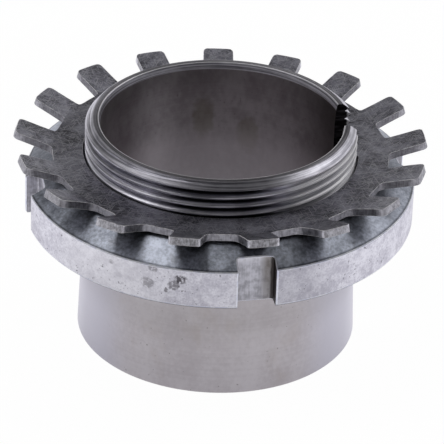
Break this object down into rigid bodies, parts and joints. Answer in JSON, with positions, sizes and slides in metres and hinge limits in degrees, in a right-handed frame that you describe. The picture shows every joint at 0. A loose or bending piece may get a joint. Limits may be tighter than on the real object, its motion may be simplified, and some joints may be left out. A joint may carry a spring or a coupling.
{
  "type": "bearing adapter sleeve",
  "caption": "Split tapered sleeve with a threaded end, carrying a slotted round lock nut and a tabbed lock washer, for clamping a tapered-bore bearing on a plain shaft.",
  "frame": {"origin": "centre of the sleeve's bore in the face of its large end, which it stands on", "axes": "+Z along the bore towards the threaded end; +X through the middle of the sleeve's slit"},
  "size_m": [0.0682, 0.0684, 0.039],
  "materials": {
    "ground_steel": "ground taper, turned thread, light oil film",
    "nut_steel": "matt blasted rim, turned faces, light oil film",
    "sheet_steel": "dark oiled sheet, blanked and bent"
  },
  "bodies": {
    "sleeve": {"adapter_sleeve": "ground_steel"},
    "washer": {"lock_washer": "sheet_steel"},
    "nut": {"lock_nut": "nut_steel"}
  },
  "joints": [
    {"name": "washer_slide", "type": "slide", "parent": "sleeve", "child": "washer", "axis": [0, 0, 1], "range_m": [0, 0.01576]},
    {"name": "nut_turn", "type": "hinge", "parent": "washer", "child": "nut", "pos_m": [0, 0, 0.02688], "axis": [0, 0, 1], "range_deg": [0, 3780]}
  ],
  "couplings": [
    {"joint": "washer_slide", "follows": "nut_turn", "m_per_rad": 0.00023873}
  ]
}
